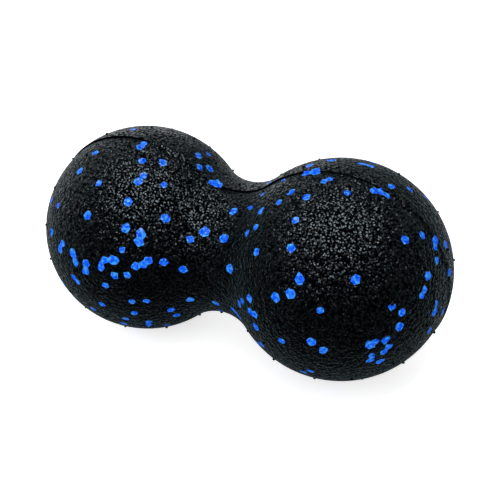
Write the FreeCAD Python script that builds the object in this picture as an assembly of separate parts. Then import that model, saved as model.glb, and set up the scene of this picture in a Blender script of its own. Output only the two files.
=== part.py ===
import FreeCAD, Part
import math
import os

# A peanut massage ball: two balls and the waist between them, moulded in one piece from
# expanded foam beads, and solid all the way through. X runs along it and Z is up. The
# origin is on the surface that it lies on, under the middle of the waist.
# Lengths are in millimetres and angles in degrees.

# The peanut
BALL_RADIUS = 40.0
BALL_SPACING = 80.0
WAIST_BLEND_RADIUS = 22.0

# The parting line, where the two halves of the mould met. It runs lengthwise all the way
# round. The back half stands proud of the front half there, and its top leans forwards.
PARTING_STEP = 0.6
PARTING_LEAN = 9.0

# The vent pips, which the mould's steam holes leave, in rows round the long axis. The
# phase is how far the first pip of a row stands past the parting line, as a share of the
# distance between two pips of that row. It keeps every pip off the line.
PIP_WIDTH = 1.2
PIP_HEIGHT = 0.55
PIP_ROOT = 1.0
PIP_SIDES = 6
PIP_SPACING = 15.0
PIP_PHASE = 0.22

ORIGIN = FreeCAD.Vector(0, 0, 0)
ALONG = FreeCAD.Vector(1, 0, 0)
UP = FreeCAD.Vector(0, 0, 1)
FULL_TURN = 360
HALF_TURN = 180
QUARTER_TURN = 90

# The waist's arc touches both balls. Its centre stands this far from the long axis, and
# a ball's radius through the point of contact makes this angle with the axis.
HALF_SPACING = BALL_SPACING / 2
BLEND_HEIGHT = math.sqrt((BALL_RADIUS + WAIST_BLEND_RADIUS) ** 2 - HALF_SPACING**2)
BLEND_ANGLE = math.degrees(math.atan2(BLEND_HEIGHT, HALF_SPACING))

# Lengths along the profile, from the widest place of a ball to the point of contact, to
# the middle of the waist and to the tip
TO_CONTACT = BALL_RADIUS * math.radians(QUARTER_TURN - BLEND_ANGLE)
TO_WAIST = TO_CONTACT + WAIST_BLEND_RADIUS * math.radians(QUARTER_TURN - BLEND_ANGLE)
TO_TIP = BALL_RADIUS * math.radians(QUARTER_TURN)


def on_arc(centre_x, centre_z, radius, angle):
    """The point of an arc in the upright lengthwise plane, at an angle from +X."""
    turn = math.radians(angle)
    x = centre_x + radius * math.cos(turn)
    z = centre_z + radius * math.sin(turn)
    return FreeCAD.Vector(x, 0, z)


def half_profile(inset):
    """The outline of one half from tip to tip, closed along the long axis. It is set in
    evenly from the full size, so its three arcs keep their centres."""
    ball = BALL_RADIUS - inset
    blend = WAIST_BLEND_RADIUS + inset
    left = -HALF_SPACING
    right = HALF_SPACING
    left_tip = on_arc(left, 0, ball, HALF_TURN)
    left_side = on_arc(left, 0, ball, (HALF_TURN + BLEND_ANGLE) / 2)
    left_contact = on_arc(left, 0, ball, BLEND_ANGLE)
    waist = on_arc(0, BLEND_HEIGHT, blend, -QUARTER_TURN)
    right_contact = on_arc(right, 0, ball, HALF_TURN - BLEND_ANGLE)
    right_side = on_arc(right, 0, ball, (HALF_TURN - BLEND_ANGLE) / 2)
    right_tip = on_arc(right, 0, ball, 0)
    edges = [
        Part.Arc(left_tip, left_side, left_contact).toShape(),
        Part.Arc(left_contact, waist, right_contact).toShape(),
        Part.Arc(right_contact, right_side, right_tip).toShape(),
        Part.LineSegment(right_tip, left_tip).toShape(),
    ]
    return Part.Face(Part.Wire(edges))


def moulded_body():
    """The two halves as one body, while the parting plane is upright. The front half
    sweeps to -Y and the back half to +Y."""
    front = half_profile(PARTING_STEP).revolve(ORIGIN, ALONG, HALF_TURN)
    back = half_profile(0).revolve(ORIGIN, ALONG, -HALF_TURN)
    return front.fuse(back)


def skin_point(distance, inset):
    """A point of the right half of the profile, and the way out of the body there. The
    distance is measured along the full-size profile from the ball's widest place, and
    it is positive towards the waist."""
    if distance <= TO_CONTACT:
        angle = QUARTER_TURN + math.degrees(distance / BALL_RADIUS)
        point = on_arc(HALF_SPACING, 0, BALL_RADIUS - inset, angle)
        return point, on_arc(0, 0, 1, angle)
    turned = math.degrees((distance - TO_CONTACT) / WAIST_BLEND_RADIUS)
    angle = -BLEND_ANGLE - turned
    point = on_arc(0, BLEND_HEIGHT, WAIST_BLEND_RADIUS + inset, angle)
    return point, -on_arc(0, 0, 1, angle)


def pip(foot, outward):
    """One vent pip: a short post that stands on the skin and is rooted in the body."""
    corners = []
    for side in range(PIP_SIDES + 1):
        corners.append(on_arc(0, 0, PIP_WIDTH / 2, FULL_TURN * side / PIP_SIDES))
    section = Part.Face(Part.makePolygon(corners))
    across = FreeCAD.Vector(0, 1, 0)
    post = section.extrude(across * (PIP_ROOT + PIP_HEIGHT))
    start = foot - outward * PIP_ROOT
    post.Placement = FreeCAD.Placement(start, FreeCAD.Rotation(across, outward))
    return post


def pip_row(distance, stagger, ends):
    """The vent pips of one row, on the right ball where ends holds 1 and on the left
    ball where it holds -1. A row has an even number, so both halves get as many."""
    around = 2 * math.pi * skin_point(distance, 0)[0].z
    count = 2 * round(around / PIP_SPACING / 2)
    pips = []
    for place in range(count):
        roll = (place + PIP_PHASE + stagger) * FULL_TURN / count
        spin = FreeCAD.Rotation(ALONG, roll)
        inset = PARTING_STEP if roll % FULL_TURN < HALF_TURN else 0
        point, outward = skin_point(distance, inset)
        for end in ends:
            foot = FreeCAD.Vector(end * point.x, 0, point.z)
            away = FreeCAD.Vector(end * outward.x, 0, outward.z)
            pips.append(pip(spin.multVec(foot), spin.multVec(away)))
    return pips


def vent_pips():
    """All the vent pips. The first row is round a ball's widest place. From there the
    rows divide the way to the waist and the way to the tip evenly, and every second row
    is turned by half the distance between its pips. The tip itself stays bare."""
    steps_in = round(TO_WAIST / PIP_SPACING)
    steps_out = round(TO_TIP / PIP_SPACING)
    pips = []
    for step in range(steps_in):
        pips += pip_row(TO_WAIST * step / steps_in, step % 2 / 2, (1, -1))
    for step in range(1, steps_out):
        pips += pip_row(-TO_TIP * step / steps_out, step % 2 / 2, (1, -1))
    pips += pip_row(TO_WAIST, steps_in % 2 / 2, (1,))
    return pips


def peanut_ball():
    """The whole ball, leant over and set down on the surface that it lies on."""
    ball = moulded_body().fuse(vent_pips())
    ball.rotate(ORIGIN, ALONG, PARTING_LEAN)
    ball.translate(UP * -ball.optimalBoundingBox(False, False).ZMin)
    return ball


os.makedirs("parts", exist_ok=True)
peanut_ball().exportStep("parts/peanut_ball.step")
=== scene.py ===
import math
import random

import bmesh
import bpy
from mathutils import Matrix, Vector
from mathutils.bvhtree import BVHTree


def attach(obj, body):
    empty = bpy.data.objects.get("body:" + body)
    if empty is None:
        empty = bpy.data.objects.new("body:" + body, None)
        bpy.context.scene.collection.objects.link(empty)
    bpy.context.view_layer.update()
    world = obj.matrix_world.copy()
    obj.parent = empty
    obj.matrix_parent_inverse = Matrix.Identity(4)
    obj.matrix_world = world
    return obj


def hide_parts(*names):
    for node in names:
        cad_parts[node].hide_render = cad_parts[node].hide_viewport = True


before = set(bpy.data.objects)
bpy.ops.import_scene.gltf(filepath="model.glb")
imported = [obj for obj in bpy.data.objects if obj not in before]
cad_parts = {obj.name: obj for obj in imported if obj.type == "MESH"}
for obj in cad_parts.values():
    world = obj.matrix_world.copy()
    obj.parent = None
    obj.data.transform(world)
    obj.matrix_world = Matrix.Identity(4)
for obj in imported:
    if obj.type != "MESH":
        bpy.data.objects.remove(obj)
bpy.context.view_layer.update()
SEED = 28
dice = random.Random(SEED)

# Lengths are in millimetres up to the last step of each mesh, and angles in radians.
TO_METRES = 0.001
FULL_TURN = 2 * math.pi

# The ball's own sizes, as its source has them, and how high its long axis lies
BALL_RADIUS = 40.0
HALF_SPACING = 40.0
WAIST_BLEND_RADIUS = 22.0
PARTING_STEP = 0.6
PARTING_LEAN = math.radians(9)
AXIS_HEIGHT = 39.58
PIP_SPACING = 15.0
PIP_PHASE = 0.22

# The profile is the waist's arc, as far as CONTACT_ANGLE of a ball, and the ball's own arc.
# A place on the skin is how far it is along the profile from the middle of the waist, and
# how far it is turned about the long axis from the top of the parting line to the front.
BLEND_HEIGHT = math.sqrt((BALL_RADIUS + WAIST_BLEND_RADIUS) ** 2 - HALF_SPACING**2)
BLEND_ANGLE = math.atan2(BLEND_HEIGHT, HALF_SPACING)
CONTACT_ANGLE = math.pi - BLEND_ANGLE
WAIST_TURN = math.pi / 2 - BLEND_ANGLE
TO_CONTACT = WAIST_BLEND_RADIUS * WAIST_TURN
TO_WIDEST = TO_CONTACT + BALL_RADIUS * WAIST_TURN
TO_TIP = TO_CONTACT + BALL_RADIUS * CONTACT_ANGLE

ALONG = Vector((1, 0, 0))
TOP = Vector((0, -math.sin(PARTING_LEAN), math.cos(PARTING_LEAN)))
FRONT = Vector((0, -math.cos(PARTING_LEAN), -math.sin(PARTING_LEAN)))
AXIS_MIDDLE = Vector((0, 0, AXIS_HEIGHT))

# The camera, as the photograph's outline gives it, with pixels of the photograph
PHOTO_SIZE = 500
CAMERA_AZIMUTH = math.radians(26.19)
CAMERA_ELEVATION = math.radians(26.40)
FOCAL_PIXELS = 878.6
# The middle of the waist as the camera sees it: right, down and ahead
WAIST_IN_VIEW = Vector((-3.93, -0.75, 329.88))
SENSOR_WIDTH = 36
# In metres
CLIP_START = 0.01
CLIP_END = 20

# The foam beads: how far apart they lie at least, how many throws scatter them, and how
# many of the unseen ones are blue
BEAD_GAP = 2.4
THROWS = 60000
BLUE_SHARE = 0.06
# A bead is in the photograph's sight if a line to the camera is clear from this far off
# the skin, and where the skin is turned away by less than this share, its edge still is.
SIGHT_LIFT = 1.5
EDGE_ON = 0.08
# Black beads ring each blue one: how many, how unevenly they are spread, their distance as
# shares of the blue bead's width, and how close they may come to another bead, in
# millimetres or as a share of a blue one's width
RING_BEADS = (4, 5, 5, 6)
RING_JITTER = 0.2
RING_REACH = (0.82, 1.16)
RING_CLOSEST = 1.7
RING_CLEAR = 0.8

# Where the photograph shows the blue beads, read from enlarged crops: across and
# down in its pixels, and about how wide each bead looks in millimetres. The scale makes up
# for the blur of its edges.
BLUE_SCALE = 0.88
BLUE_BEADS = [
    # left ball
    (132.8, 129.4, 2.6), (144.0, 143.0, 3.0), (140.0, 147.2, 2.8), (94.4, 153.0, 2.8),
    (79.5, 171.0, 3.3), (142.0, 160.5, 3.1), (162.9, 162.3, 3.7), (143.8, 175.3, 3.0),
    (137.3, 181.8, 2.8), (98.7, 183.0, 2.7), (164.2, 184.5, 2.7), (128.4, 201.5, 3.7),
    (87.7, 215.5, 3.6), (165.6, 218.3, 3.6), (51.4, 200.0, 2.8), (57.9, 205.3, 2.6),
    (125.6, 228.4, 3.6), (51.5, 231.6, 3.1), (62.5, 243.5, 3.0), (59.7, 249.8, 3.2),
    (73.0, 254.0, 3.3), (75.2, 262.0, 3.6), (86.0, 263.5, 3.2), (85.7, 271.2, 2.8),
    (104.8, 259.8, 3.1), (113.6, 260.5, 3.5), (100.8, 267.5, 3.1), (141.2, 235.2, 3.4),
    (139.2, 242.2, 3.3), (122.2, 249.7, 2.5), (190.4, 239.3, 3.2), (136.0, 266.5, 3.2),
    (142.5, 263.6, 2.2), (148.4, 260.3, 3.4), (163.5, 262.0, 3.5), (182.7, 269.4, 3.2),
    (114.8, 276.0, 3.2), (127.5, 275.5, 3.4), (73.8, 277.3, 2.8), (77.0, 281.4, 2.8),
    (63.5, 283.5, 2.8), (105.5, 285.5, 2.6), (131.8, 301.7, 2.8), (147.2, 301.5, 2.2),
    (101.7, 304.3, 2.7), (93.0, 309.0, 2.6), (190.0, 299.8, 3.2), (134.2, 313.2, 3.0),
    (171.0, 310.3, 3.1), (177.0, 315.5, 3.0), (126.0, 319.0, 3.0), (124.0, 323.6, 3.0),
    (149.0, 321.8, 3.2), (148.5, 325.0, 3.0), (167.0, 325.0, 3.0),
    # waist
    (198.5, 155.4, 3.5), (208.6, 154.2, 2.4), (200.0, 167.1, 3.0), (210.0, 168.6, 3.3),
    (210.8, 182.5, 2.3), (218.9, 183.8, 2.9), (269.2, 182.3, 2.8), (262.5, 194.2, 2.2),
    (233.5, 211.3, 3.5), (250.6, 207.9, 2.0), (260.0, 211.4, 3.0), (278.6, 202.4, 2.7),
    (255.5, 227.0, 2.8), (247.0, 233.0, 2.6), (204.2, 232.0, 3.8), (223.9, 238.1, 3.5),
    (256.3, 252.1, 3.0), (290.7, 247.6, 3.3), (229.6, 268.8, 3.7), (215.6, 303.3, 3.0),
    (220.8, 310.8, 2.8), (232.7, 310.0, 2.0), (238.3, 316.1, 2.0), (242.2, 300.8, 2.9),
    (239.2, 304.4, 2.9), (249.3, 298.7, 3.2), (250.5, 312.0, 3.0), (255.0, 315.0, 3.0),
    (255.8, 327.4, 3.2), (275.6, 297.4, 4.1), (290.2, 294.4, 3.7), (299.5, 279.8, 3.9),
    (281.8, 341.1, 2.8), (261.6, 344.6, 2.8), (257.6, 343.4, 2.6),
    # right ball
    (283.2, 180.1, 2.3), (291.3, 191.9, 2.9), (306.4, 196.7, 3.0), (295.5, 219.7, 2.9),
    (309.2, 165.4, 3.4), (305.4, 173.9, 3.2), (316.4, 172.5, 3.8), (323.8, 181.3, 2.6),
    (329.2, 178.7, 2.2), (331.1, 160.2, 3.5), (347.7, 192.7, 2.5), (361.0, 163.6, 2.9),
    (371.0, 165.9, 3.2), (373.5, 162.8, 3.0), (375.0, 190.9, 3.4), (381.3, 191.9, 2.0),
    (385.2, 194.3, 2.0), (392.2, 186.2, 2.9), (410.0, 189.5, 3.2), (425.0, 196.6, 3.2),
    (405.1, 239.4, 3.4), (422.7, 235.2, 2.7), (436.3, 239.9, 2.9), (434.9, 245.9, 2.7),
    (447.8, 233.6, 3.0), (445.8, 244.7, 3.2), (452.0, 250.5, 2.5), (436.8, 260.0, 3.2),
    (449.8, 272.3, 3.2), (428.0, 276.4, 3.6), (424.8, 290.9, 2.3), (421.7, 295.5, 2.4),
    (392.5, 306.6, 3.1), (402.5, 312.6, 2.8), (399.5, 327.3, 3.4), (437.0, 302.7, 2.6),
    (434.5, 313.0, 3.1), (442.9, 312.0, 2.9), (429.8, 330.6, 2.9), (375.4, 341.8, 3.0),
    (369.5, 346.0, 3.1), (385.4, 340.4, 3.0), (389.2, 346.2, 2.8), (384.0, 352.0, 2.9),
    (371.8, 355.6, 2.2), (370.3, 360.5, 2.6), (379.2, 362.1, 2.9), (320.4, 310.6, 2.5),
    (355.6, 279.5, 3.7), (311.2, 341.6, 3.4), (322.9, 350.4, 3.6), (303.4, 372.2, 2.8),
    (310.7, 371.3, 2.8),
]


def make_camera():
    """The camera that took the photograph, and its directions right, up and ahead."""
    a = CAMERA_AZIMUTH
    e = CAMERA_ELEVATION
    right = Vector((math.cos(a), math.sin(a), 0))
    ahead = Vector((-math.sin(a) * math.cos(e), math.cos(a) * math.cos(e), -math.sin(e)))
    up = right.cross(ahead)
    offset = right * WAIST_IN_VIEW.x - up * WAIST_IN_VIEW.y + ahead * WAIST_IN_VIEW.z
    data = bpy.data.cameras.new("photo_camera")
    data.sensor_width = SENSOR_WIDTH
    data.lens = FOCAL_PIXELS * SENSOR_WIDTH / PHOTO_SIZE
    data.clip_start = CLIP_START
    data.clip_end = CLIP_END
    camera = bpy.data.objects.new("photo_camera", data)
    camera.location = (AXIS_MIDDLE - offset) * TO_METRES
    camera.rotation_mode = "QUATERNION"
    camera.rotation_quaternion = Matrix((right, up, -ahead)).transposed().to_quaternion()
    bpy.context.scene.collection.objects.link(camera)
    bpy.context.scene.camera = camera
    return AXIS_MIDDLE - offset, right, up, ahead


EYE, RIGHT, UP, AHEAD = make_camera()


def pixel_ray(across, down):
    """The way from the camera through a pixel of the photograph."""
    half = PHOTO_SIZE / 2
    ray = AHEAD + RIGHT * ((across - half) / FOCAL_PIXELS)
    return (ray - UP * ((down - half) / FOCAL_PIXELS)).normalized()


def spoke(turn):
    """The way out from the long axis."""
    return TOP * math.cos(turn) + FRONT * math.sin(turn)


def skin(distance, turn):
    """The point of the full-size skin at a place, and the way out of the body there."""
    side = math.copysign(1, distance)
    reach = abs(distance)
    if reach < TO_CONTACT:
        angle = reach / WAIST_BLEND_RADIUS
        along = WAIST_BLEND_RADIUS * math.sin(angle)
        out = BLEND_HEIGHT - WAIST_BLEND_RADIUS * math.cos(angle)
        outward = ALONG * (-side * math.sin(angle)) + spoke(turn) * math.cos(angle)
    else:
        angle = CONTACT_ANGLE - (reach - TO_CONTACT) / BALL_RADIUS
        along = HALF_SPACING + BALL_RADIUS * math.cos(angle)
        out = BALL_RADIUS * math.sin(angle)
        outward = ALONG * (side * math.cos(angle)) + spoke(turn) * math.sin(angle)
    return AXIS_MIDDLE + ALONG * (side * along) + spoke(turn) * out, outward


def place_of(point):
    """The place on the skin nearest to a point."""
    arm = point - AXIS_MIDDLE
    along = abs(arm.x)
    out = math.hypot(arm.dot(TOP), arm.dot(FRONT))
    turn = math.atan2(arm.dot(FRONT), arm.dot(TOP))
    angle = math.atan2(along, BLEND_HEIGHT - out)
    if out < BLEND_HEIGHT and angle < WAIST_TURN:
        distance = WAIST_BLEND_RADIUS * angle
    else:
        angle = math.atan2(out, along - HALF_SPACING)
        distance = TO_CONTACT + BALL_RADIUS * (CONTACT_ANGLE - angle)
    return math.copysign(distance, arm.x), turn


def snapped(point):
    """The point of the skin nearest to a point."""
    return skin(*place_of(point))[0]


def on_globe(point):
    """Where a skin point goes on a globe that keeps every small circle round, so that the
    beads' neighbours are the same on both."""
    distance, turn = place_of(point)
    reach = abs(distance)
    root = math.sqrt(BLEND_HEIGHT**2 - WAIST_BLEND_RADIUS**2)
    ratio = (BLEND_HEIGHT + WAIST_BLEND_RADIUS) / (BLEND_HEIGHT - WAIST_BLEND_RADIUS)
    half_angle = min(reach, TO_CONTACT) / WAIST_BLEND_RADIUS / 2
    lift = math.atan(math.sqrt(ratio) * math.tan(half_angle))
    lift *= 2 * WAIST_BLEND_RADIUS / root
    if reach > TO_CONTACT:
        angle = CONTACT_ANGLE - (reach - TO_CONTACT) / BALL_RADIUS
        lift += math.log(math.tan(CONTACT_ANGLE / 2) / math.tan(angle / 2))
    lift = math.copysign(lift, distance)
    across = 1 / math.cosh(lift)
    return Vector((math.tanh(lift), across * math.cos(turn), across * math.sin(turn)))


class Beads:
    """Bead centres on the skin, in boxes of one gap's width so that near ones are found."""

    def __init__(self):
        self.centres = []
        self.blue = []
        self.boxes = {}

    def box(self, point):
        """The numbers of the box that a point is in."""
        return tuple(math.floor(c / BEAD_GAP) for c in point)

    def near(self, point, gap):
        """Whether a bead's centre lies within the gap."""
        x, y, z = self.box(point)
        for i in (x - 1, x, x + 1):
            for j in (y - 1, y, y + 1):
                for k in (z - 1, z, z + 1):
                    for n in self.boxes.get((i, j, k), ()):
                        if (self.centres[n] - point).length < gap:
                            return True
        return False

    def add(self, point, blue):
        self.boxes.setdefault(self.box(point), []).append(len(self.centres))
        self.centres.append(point)
        self.blue.append(blue)


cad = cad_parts["peanut_ball"].data
solid = BVHTree.FromPolygons(
    [v.co / TO_METRES for v in cad.vertices], [p.vertices for p in cad.polygons]
)


def seen(point):
    """Whether the photograph shows this skin point, or a bead's edge there."""
    outward = skin(*place_of(point))[1]
    sight = (EYE - point).normalized()
    facing = outward.dot(sight)
    if abs(facing) < EDGE_ON:
        return True
    if facing < 0:
        return False
    return solid.ray_cast(point + outward * SIGHT_LIFT, sight)[0] is None


def ring_round(beads, middle, size, blue_ones):
    """Black beads close round a blue one, which give it its size and its corners."""
    outward = skin(*place_of(middle))[1]
    first = outward.orthogonal().normalized()
    second = outward.cross(first)
    start = dice.uniform(0, FULL_TURN)
    count = dice.choice(RING_BEADS)
    for k in range(count):
        angle = start + (k + dice.uniform(-RING_JITTER, RING_JITTER)) * FULL_TURN / count
        reach = size * dice.uniform(*RING_REACH)
        point = middle + (first * math.cos(angle) + second * math.sin(angle)) * reach
        point = snapped(point)
        clear = all((point - p).length > RING_CLEAR * s for p, s in blue_ones)
        if clear and not beads.near(point, RING_CLOSEST):
            beads.add(point, False)


def scatter_beads():
    """All the beads: the blue ones of the photograph, the black ones round them, and the
    rest at random, as many for the same area everywhere."""
    beads = Beads()
    blue_ones = []
    for across, down, size in BLUE_BEADS:
        hit = solid.ray_cast(EYE, pixel_ray(across, down))[0]
        if hit is not None:
            blue_ones.append((snapped(hit), size * BLUE_SCALE))
    for point, size in blue_ones:
        beads.add(point, True)
    for point, size in blue_ones:
        ring_round(beads, point, size, blue_ones)
    for throw in range(THROWS):
        distance = dice.uniform(-TO_TIP, TO_TIP)
        turn = dice.uniform(0, FULL_TURN)
        keep = dice.uniform(0, BALL_RADIUS)
        tint = dice.random()
        point, outward = skin(distance, turn)
        # A throw far from the long axis is kept more often, as there is more skin there.
        if keep > (point - AXIS_MIDDLE - ALONG * (point.x - AXIS_MIDDLE.x)).length:
            continue
        if beads.near(point, BEAD_GAP):
            continue
        beads.add(point, tint < BLUE_SHARE and not seen(point))
    return beads


def circle_centre(a, b, c):
    """The point as far from a as from b and c, in their plane."""
    ab = b - a
    ac = c - a
    square = ab.cross(ac)
    to_centre = square.cross(ab) * ac.length_squared + ac.cross(square) * ab.length_squared
    return a + to_centre / (2 * square.length_squared)


# The globe that the beads' neighbours are found on
GLOBE_RADIUS = 1000

# A cell's corner is as far from each of its three beads, and then drawn in towards their
# middle by a share and to this reach at most, so that no cell folds over another. A blue
# bead's corners are also drawn in towards it by a share, which rounds it.
CORNER_INWARD = 0.35
CORNER_REACH = 1.3
CORNER_ROUND = 0.03

# How deep the skin dips at a cell's corners and edges, and how far its edges wander and a
# blue bead's edges bulge, as shares of their length
CORNER_DIP = 0.05
EDGE_DIP = 0.03
EDGE_WANDER = 0.08
BLUE_BULGE = 0.05
# A ring inside each cell: how far in it lies, as a share, and how much it counts as rim
INNER_SHARE = 0.3
INNER_RIM = 0.1

BLACK, BLUE = 0, 1


def cells_of(beads):
    """Each bead's cell as a ring of corner numbers, the corners, and the three beads that
    meet at each corner."""
    hull = bmesh.new()
    for point in beads.centres:
        hull.verts.new(on_globe(point) * GLOBE_RADIUS)
    hull.verts.index_update()
    bmesh.ops.convex_hull(hull, input=hull.verts[:])
    bmesh.ops.triangulate(hull, faces=hull.faces[:])
    hull.verts.ensure_lookup_table()
    hull.faces.index_update()
    corners = []
    owners = []
    for face in hull.faces:
        owner = [v.index for v in face.verts]
        ends = [beads.centres[n] for n in owner]
        middle = sum(ends, Vector()) / len(ends)
        arm = (circle_centre(*ends) - middle) * (1 - CORNER_INWARD)
        if arm.length > CORNER_REACH:
            arm *= CORNER_REACH / arm.length
        corner = middle + arm
        blue = [beads.centres[n] for n in owner if beads.blue[n]]
        if len(blue) in (1, 2):
            corner = corner.lerp(sum(blue, Vector()) / len(blue), CORNER_ROUND)
        corners.append(snapped(corner))
        owners.append(set(owner))
    rings = []
    for v in hull.verts:
        pole = v.co.normalized()
        first = pole.orthogonal().normalized()
        second = pole.cross(first)
        around = []
        for face in v.link_faces:
            arm = face.calc_center_median() - v.co
            around.append((math.atan2(arm.dot(second), arm.dot(first)), face.index))
        rings.append([index for angle, index in sorted(around)])
    hull.free()
    return rings, corners, owners


def skin_mesh(beads):
    """The whole skin at full size, with two rings of small faces for each bead. The layer
    "rim" is 1 at a cell's edge and 0 at its middle."""
    rings, corners, owners = cells_of(beads)
    mesh = bmesh.new()
    rim = mesh.verts.layers.float.new("rim")

    def add_vertex(point, dip, edge):
        surface, outward = skin(*place_of(point))
        v = mesh.verts.new(surface - outward * dip)
        v[rim] = edge
        return v

    corner_verts = [add_vertex(p, CORNER_DIP, 1) for p in corners]
    edge_verts = {}

    def edge_vertex(i, j):
        key = (min(i, j), max(i, j))
        if key not in edge_verts:
            a = corners[key[0]]
            b = corners[key[1]]
            middle = (a + b) / 2
            outward = skin(*place_of(middle))[1]
            sideways = outward.cross(b - a) * dice.uniform(-EDGE_WANDER, EDGE_WANDER)
            blue = [beads.centres[n] for n in owners[i] & owners[j] if beads.blue[n]]
            if len(blue) == 1:
                away = (middle - blue[0]).normalized()
                sideways = away * (b - a).length * dice.uniform(0, BLUE_BULGE)
            edge_verts[key] = add_vertex(middle + sideways, EDGE_DIP, 1)
        return edge_verts[key]

    for n, ring in enumerate(rings):
        # A bead that the hull leaves out has no cell, and its neighbours fill its place.
        if not ring:
            continue
        outer = []
        for i, j in zip(ring, ring[1:] + ring[:1]):
            outer += [corner_verts[i], edge_vertex(i, j)]
        middle = sum((v.co for v in outer), Vector()) / len(outer)
        inner = [add_vertex(v.co.lerp(middle, INNER_SHARE), 0, INNER_RIM) for v in outer]
        centre = add_vertex(middle, 0, 0)
        tint = BLUE if beads.blue[n] else BLACK
        for k in range(len(outer)):
            m = (k + 1) % len(outer)
            band = mesh.faces.new((outer[k], outer[m], inner[m], inner[k]))
            fan = mesh.faces.new((inner[k], inner[m], centre))
            band.material_index = tint
            fan.material_index = tint
    return mesh


# The parting line. Each row is a level, which is a distance behind the parting plane, and
# how deep the skin lies there where the line is crisp and where it is worn. The front half
# lies one step deeper, and a fine crease runs along the foot of the crisp step.
CREASE = 0.12
PARTING = [
    (1.20, 0.0, 0.0),
    (0.30, 0.0, 0.22),
    (0.0, 0.04, 0.30),
    (-0.03, PARTING_STEP + CREASE, 0.31),
    (-0.15, PARTING_STEP + CREASE, 0.34),
    (-0.45, PARTING_STEP, 0.41),
    (-1.20, PARTING_STEP, PARTING_STEP),
]
LEVELS = [level for level, crisp, worn in PARTING]
# The step's face, with the crease at its foot, lies between these two levels. Its edges
# are sharp at the last two, where the line is at least this clear.
FACE_TOP, FACE_FOOT = LEVELS[2], LEVELS[4]
SHARP_LEVELS = LEVELS[2:4]
SHARP_FROM = 0.5
# How clearly the photograph shows the line: pairs of a place along the ball and a share.
# Where the share is low, the step is worn and the grain runs over it.
LINE_CLEAR = [
    (-80, 1.0), (-38, 1.0), (-30, 0.2), (-15, 0.2), (-8, 1.0), (22, 1.0), (30, 0.6),
    (54, 0.6), (62, 0.2), (80, 0.2),
]


# The cuts at the levels: how near to the parting plane a face that they may meet has a
# corner, how close to a cut a corner is taken to be on it, and what counts as on a level
CUT_REACH = 4.0
CUT_SNAP = 1e-5
CUT_ERROR = 0.001


def behind_parting(point):
    """How far behind the parting plane a point lies."""
    return -(point - AXIS_MIDDLE).dot(FRONT)


def line_clear(x):
    """How clear the parting line is at a place along the ball."""
    for (start, first), (end, last) in zip(LINE_CLEAR, LINE_CLEAR[1:]):
        if x <= end:
            return first + (last - first) * (x - start) / (end - start)
    return LINE_CLEAR[-1][1]


def parting_depth(behind, x):
    """How deep the skin lies at a distance behind the parting plane and a place along the
    ball."""
    clear = line_clear(x)
    depths = [worn + (crisp - worn) * clear for level, crisp, worn in PARTING]
    if behind >= LEVELS[0]:
        return depths[0]
    for k in range(len(LEVELS) - 1):
        far = LEVELS[k]
        near = LEVELS[k + 1]
        if behind >= near:
            share = (far - behind) / (far - near)
            return depths[k] + (depths[k + 1] - depths[k]) * share
    return depths[-1]


def near_parting(face):
    """Whether a cut may meet the face."""
    return min(abs(behind_parting(v.co)) for v in face.verts) < CUT_REACH


def part_mould(mesh):
    """Cuts the skin along the parting line and sets its front half in. The layer "seam" is
    how clear the line is on the step's face, and 0 elsewhere."""
    for level in LEVELS:
        faces = [f for f in mesh.faces if near_parting(f)]
        edges = {e for f in faces for e in f.edges}
        verts = {v for f in faces for v in f.verts}
        bmesh.ops.bisect_plane(
            mesh, geom=list(verts) + list(edges) + faces, dist=CUT_SNAP,
            plane_co=AXIS_MIDDLE - FRONT * level, plane_no=-FRONT,
        )
    seam = mesh.verts.layers.float.new("seam")
    behind = {v: behind_parting(v.co) for v in mesh.verts}
    for v, distance in behind.items():
        if FACE_FOOT - CUT_ERROR < distance < FACE_TOP + CUT_ERROR:
            v[seam] = line_clear(v.co.x)
        depth = parting_depth(distance, v.co.x)
        if depth:
            v.co -= skin(*place_of(v.co))[1] * depth
    for e in mesh.edges:
        if line_clear(e.verts[0].co.x) < SHARP_FROM:
            continue
        for level in SHARP_LEVELS:
            if all(abs(behind[v] - level) < CUT_ERROR for v in e.verts):
                e.smooth = False


# The vent pips: pairs of a radius and a height above the skin, up to the top of the dome
PIP_RINGS = [(0.80, -0.10), (0.52, 0.08), (0.47, 0.38), (0.30, 0.57)]
PIP_TOP = 0.63
PIP_SIDES = 8
PIP_SCALES = (0.9, 1.08)


def pip_places():
    """The pips' places, in the rows that the part's source has."""
    out_to_tip = BALL_RADIUS * math.pi / 2
    steps_in = round(TO_WIDEST / PIP_SPACING)
    steps_out = round(out_to_tip / PIP_SPACING)
    rows = []
    for step in range(steps_in):
        rows.append((TO_WIDEST - TO_WIDEST * step / steps_in, step, (1, -1)))
    for step in range(1, steps_out):
        rows.append((TO_WIDEST + out_to_tip * step / steps_out, step, (1, -1)))
    rows.append((0.0, steps_in, (1,)))
    places = []
    for distance, step, sides in rows:
        point = skin(distance, 0)[0]
        around = FULL_TURN * (point - AXIS_MIDDLE).dot(TOP)
        count = 2 * round(around / PIP_SPACING / 2)
        for place in range(count):
            turn = (place + PIP_PHASE + step % 2 / 2) * FULL_TURN / count
            places += [(side * distance, turn) for side in sides]
    return places


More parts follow.
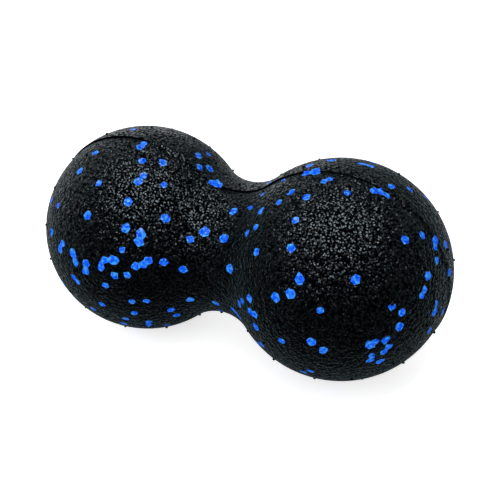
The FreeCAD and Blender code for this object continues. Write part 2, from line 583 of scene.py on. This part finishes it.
def add_pips(mesh, beads):
    """The vent pips. One that stands on a blue bead is blue."""
    blue = [p for p, tinted in zip(beads.centres, beads.blue) if tinted]
    for distance, turn in pip_places():
        surface, outward = skin(distance, turn)
        foot = surface - outward * parting_depth(behind_parting(surface), surface.x)
        first = outward.orthogonal().normalized()
        second = outward.cross(first)
        scale = dice.uniform(*PIP_SCALES)
        closest = min((p - surface).length for p in blue)
        tint = BLUE if closest < PIP_RINGS[0][0] else BLACK
        rings = []
        for radius, height in PIP_RINGS:
            ring = []
            for k in range(PIP_SIDES):
                angle = FULL_TURN * k / PIP_SIDES
                arm = first * math.cos(angle) + second * math.sin(angle)
                corner = foot + arm * radius * scale + outward * height * scale
                ring.append(mesh.verts.new(corner))
            rings.append(ring)
        top = mesh.verts.new(foot + outward * PIP_TOP * scale)
        faces = []
        for lower, upper in zip(rings, rings[1:]):
            for k in range(PIP_SIDES):
                m = (k + 1) % PIP_SIDES
                faces.append(mesh.faces.new((lower[k], lower[m], upper[m], upper[k])))
        for k in range(PIP_SIDES):
            m = (k + 1) % PIP_SIDES
            faces.append(mesh.faces.new((rings[-1][k], rings[-1][m], top)))
        for face in faces:
            face.material_index = tint


def link(name, data):
    """A new object in the scene."""
    obj = bpy.data.objects.new(name, data)
    bpy.context.scene.collection.objects.link(obj)
    return obj


# The grain: its pitch and depth in metres. A pebble's top is flat and its flank steep, and
# a swell tilts the pebbles a little. A pebble's gloss fades out between TOP_END and
# GAP_START, which are distances from its middle as shares of the pitch.
GRAIN_PITCH = 0.00083
GRAIN_DEPTH = 0.00062
FLANK_POWER = 3.0
SWELL_PITCH = 0.0015
SWELL_DEPTH = 0.00065
TOP_GLOSS = 0.05
TOP_END = 0.15
GAP_START = 0.6


def add_grain(tree, shader):
    """Fine pebbles all over the skin, which the mould leaves, with dull gaps between. The
    face of the parting step has none."""
    nodes = tree.nodes
    links = tree.links
    where = nodes.new("ShaderNodeTexCoord")
    pebbles = nodes.new("ShaderNodeTexVoronoi")
    pebbles.inputs["Scale"].default_value = 1 / GRAIN_PITCH
    links.new(where.outputs["Object"], pebbles.inputs["Vector"])
    seam = nodes.new("ShaderNodeAttribute")
    seam.attribute_name = "seam"
    away = nodes.new("ShaderNodeMath")
    away.operation = "SUBTRACT"
    away.inputs[0].default_value = 1.0
    links.new(seam.outputs["Fac"], away.inputs[1])
    flank = nodes.new("ShaderNodeMath")
    flank.operation = "POWER"
    flank.inputs[1].default_value = FLANK_POWER
    links.new(pebbles.outputs["Distance"], flank.inputs[0])
    swell = nodes.new("ShaderNodeTexNoise")
    swell.inputs["Scale"].default_value = 1 / SWELL_PITCH
    swell.inputs["Detail"].default_value = 0.0
    links.new(where.outputs["Object"], swell.inputs["Vector"])
    broad = nodes.new("ShaderNodeBump")
    broad.inputs["Distance"].default_value = SWELL_DEPTH
    links.new(swell.outputs["Fac"], broad.inputs["Height"])
    links.new(away.outputs["Value"], broad.inputs["Strength"])
    bump = nodes.new("ShaderNodeBump")
    bump.invert = True
    bump.inputs["Distance"].default_value = GRAIN_DEPTH
    links.new(flank.outputs["Value"], bump.inputs["Height"])
    links.new(away.outputs["Value"], bump.inputs["Strength"])
    links.new(broad.outputs["Normal"], bump.inputs["Normal"])
    links.new(bump.outputs["Normal"], shader.inputs["Normal"])
    top = nodes.new("ShaderNodeMapRange")
    top.interpolation_type = "SMOOTHSTEP"
    top.inputs["From Min"].default_value = TOP_END
    top.inputs["From Max"].default_value = GAP_START
    top.inputs["To Min"].default_value = TOP_GLOSS
    top.inputs["To Max"].default_value = 0.0
    links.new(pebbles.outputs["Distance"], top.inputs["Value"])
    gloss = nodes.new("ShaderNodeMath")
    gloss.operation = "MULTIPLY"
    links.new(top.outputs["Result"], gloss.inputs[0])
    links.new(away.outputs["Value"], gloss.inputs[1])
    links.new(gloss.outputs["Value"], shader.inputs["Specular IOR Level"])


# The black foam, darker than the record has it, because the photograph crushes its blacks.
# The sheen is the paler edge that the ball has all round.
BLACK_FOAM = {
    "Base Color": (0.0006, 0.0007, 0.0008, 1),
    "Roughness": 0.35,
    "Specular Tint": (0.72, 0.88, 1.0, 1),
    "Sheen Weight": 0.1,
    "Sheen Roughness": 0.2,
    "Sheen Tint": (0.5, 0.86, 1.0, 1),
}


def black_foam():
    """The foam of nearly all the beads."""
    material = bpy.data.materials.new("black_foam")
    material.use_nodes = True
    tree = material.node_tree
    shader = tree.nodes["Principled BSDF"]
    for socket, value in BLACK_FOAM.items():
        shader.inputs[socket].default_value = value
    add_grain(tree, shader)
    return material


BLUE_CORE = (0.003, 0.10, 1.0, 1)
BLUE_RIM = (0.05, 0.33, 1.0, 1)
BLUE_ROUGHNESS = 0.4
# The pale patches inside a blue bead: their pitch in metres, and how much of the pale
# colour the patches and the bead's rim bring
MOTTLE_PITCH = 0.0011
MOTTLE_DETAIL = 1.0
MOTTLE_GAIN = 4.5
MOTTLE_START = -2.0
RIM_GAIN = 0.5


def blue_foam():
    """The foam of the blue beads, paler in patches and at a bead's rim."""
    material = bpy.data.materials.new("blue_foam")
    material.use_nodes = True
    tree = material.node_tree
    shader = tree.nodes["Principled BSDF"]
    shader.inputs["Roughness"].default_value = BLUE_ROUGHNESS
    add_grain(tree, shader)
    where = tree.nodes.new("ShaderNodeTexCoord")
    mottle = tree.nodes.new("ShaderNodeTexNoise")
    mottle.inputs["Scale"].default_value = 1 / MOTTLE_PITCH
    mottle.inputs["Detail"].default_value = MOTTLE_DETAIL
    tree.links.new(where.outputs["Object"], mottle.inputs["Vector"])
    rim = tree.nodes.new("ShaderNodeAttribute")
    rim.attribute_name = "rim"
    share = tree.nodes.new("ShaderNodeMath")
    share.operation = "MULTIPLY_ADD"
    share.use_clamp = True
    share.inputs[1].default_value = MOTTLE_GAIN
    tree.links.new(mottle.outputs["Fac"], share.inputs[0])
    pale = tree.nodes.new("ShaderNodeMath")
    pale.operation = "MULTIPLY_ADD"
    pale.inputs[1].default_value = RIM_GAIN
    pale.inputs[2].default_value = MOTTLE_START
    tree.links.new(rim.outputs["Fac"], pale.inputs[0])
    tree.links.new(pale.outputs["Value"], share.inputs[2])
    mix = tree.nodes.new("ShaderNodeMix")
    mix.data_type = "RGBA"
    mix.inputs["A"].default_value = BLUE_CORE
    mix.inputs["B"].default_value = BLUE_RIM
    tree.links.new(share.outputs["Value"], mix.inputs["Factor"])
    tree.links.new(mix.outputs["Result"], shader.inputs["Base Color"])
    return material


def build_ball():
    """The ball, as one mesh in the place of the part's one solid."""
    beads = scatter_beads()
    mesh = skin_mesh(beads)
    part_mould(mesh)
    add_pips(mesh, beads)
    for face in mesh.faces:
        face.smooth = True
    bmesh.ops.scale(mesh, vec=(TO_METRES,) * 3, verts=mesh.verts[:])
    data = bpy.data.meshes.new("peanut_skin")
    mesh.to_mesh(data)
    mesh.free()
    data.materials.append(black_foam())
    data.materials.append(blue_foam())
    ball = link("peanut_skin", data)
    triangles = sum(len(p.vertices) - 2 for p in data.polygons)
    print("beads", len(beads.centres), "blue", sum(beads.blue), "triangles", triangles)
    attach(ball, "root")
    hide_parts("peanut_ball")


# The studio. Levels are of light, where 1 shows a white thing white. The world lights the
# object with the first, and the floor glows with the second for the rays that show it.
WHITE = (1, 1, 1, 1)
WORLD_LIGHT = 0.15
FLOOR_GLOW = 0.68
# From the middle of the floor to its edge, in metres, and its surface
FLOOR_REACH = 1.0
FLOOR_COLOUR = (0.9, 0.9, 0.9, 1)
FLOOR_ROUGHNESS = 0.9
# Reflections show the floor as it is lit up to the first distance, in metres, so that the
# underside shows its shadow, and as plain white from the second.
SHADOW_NEAR = 0.03
SHADOW_FAR = 0.2


def math_node(tree, operation, first, second):
    """The result of a maths node on two outputs."""
    node = tree.nodes.new("ShaderNodeMath")
    node.operation = operation
    tree.links.new(first, node.inputs[0])
    tree.links.new(second, node.inputs[1])
    return node.outputs["Value"]


def background_rays(tree, mirrored_share=None):
    """1 for the rays that meet the plain white background, and 0 for those that light.
    The share, where one is given, is how much of it a reflection shows."""
    ray = tree.nodes.new("ShaderNodeLightPath").outputs
    mirrored = math_node(tree, "MAXIMUM", ray["Is Glossy Ray"], ray["Is Transmission Ray"])
    if mirrored_share:
        mirrored = math_node(tree, "MULTIPLY", mirrored, mirrored_share(ray))
    return math_node(tree, "MAXIMUM", ray["Is Camera Ray"], mirrored)


def make_world():
    """A dim world for the light on the object, and plain white to look at."""
    world = bpy.data.worlds.new("studio")
    bpy.context.scene.world = world
    world.use_nodes = True
    tree = world.node_tree
    background = tree.nodes["Background"]
    background.inputs["Color"].default_value = WHITE
    level = tree.nodes.new("ShaderNodeMapRange")
    level.inputs["To Min"].default_value = WORLD_LIGHT
    level.inputs["To Max"].default_value = 1.0
    tree.links.new(background_rays(tree), level.inputs["Value"])
    tree.links.new(level.outputs["Result"], background.inputs["Strength"])


def make_floor():
    """A white floor that keeps the ball's shadow."""
    mesh = bmesh.new()
    bmesh.ops.create_grid(mesh, x_segments=1, y_segments=1, size=FLOOR_REACH)
    data = bpy.data.meshes.new("floor")
    mesh.to_mesh(data)
    mesh.free()
    floor = link("floor", data)
    material = bpy.data.materials.new("floor")
    material.use_nodes = True
    tree = material.node_tree
    shader = tree.nodes["Principled BSDF"]
    shader.inputs["Base Color"].default_value = FLOOR_COLOUR
    shader.inputs["Roughness"].default_value = FLOOR_ROUGHNESS
    shader.inputs["Specular IOR Level"].default_value = 0.0
    shader.inputs["Emission Color"].default_value = WHITE

    def far_share(ray):
        far = tree.nodes.new("ShaderNodeMapRange")
        far.inputs["From Min"].default_value = SHADOW_NEAR
        far.inputs["From Max"].default_value = SHADOW_FAR
        tree.links.new(ray["Ray Length"], far.inputs["Value"])
        return far.outputs["Result"]

    glow = tree.nodes.new("ShaderNodeMath")
    glow.operation = "MULTIPLY"
    glow.inputs[1].default_value = FLOOR_GLOW
    tree.links.new(background_rays(tree, far_share), glow.inputs[0])
    tree.links.new(glow.outputs["Value"], shader.inputs["Emission Strength"])
    data.materials.append(material)


# The lamps are round. Each row is a name, the direction of the lamp as the camera sees it
# (right, up and near), its distance and width in metres, its power in watts, and whether
# it gives plain light and gloss. The foam's gloss is faint, so the two lamps that only
# give gloss are strong.
OVER = (-0.06, 0.70, 0.68)
LAMPS = [
    ("softbox", OVER, 0.9, 0.5, 4.0, True, True),
    ("glint", OVER, 0.9, 0.3, 120.0, False, True),
    ("gleam", OVER, 0.9, 1.1, 185.0, False, True),
    ("fill", (-0.2, 0.1, 1.0), 1.2, 1.2, 9.0, True, False),
    ("back", (-0.2, 0.65, -0.7), 0.9, 0.6, 2.6, True, True),
    ("side", (-0.9, 0.35, -0.45), 0.9, 0.6, 5.0, True, True),
]


def make_lamps():
    """The lamps, which all shine at the middle of the waist."""
    aim = AXIS_MIDDLE * TO_METRES
    for name, (right, up, near), distance, width, power, plain, gloss in LAMPS:
        data = bpy.data.lights.new(name, "AREA")
        data.shape = "DISK"
        data.size = width
        data.energy = power
        lamp = link(name, data)
        way = (RIGHT * right + UP * up - AHEAD * near).normalized()
        lamp.location = aim + way * distance
        lamp.rotation_mode = "QUATERNION"
        lamp.rotation_quaternion = (-way).to_track_quat("-Z", "Y")
        lamp.visible_diffuse = plain
        lamp.visible_glossy = gloss
        lamp.visible_camera = False


build_ball()
make_world()
make_floor()
make_lamps()
bpy.context.scene.view_settings.view_transform = "Standard"
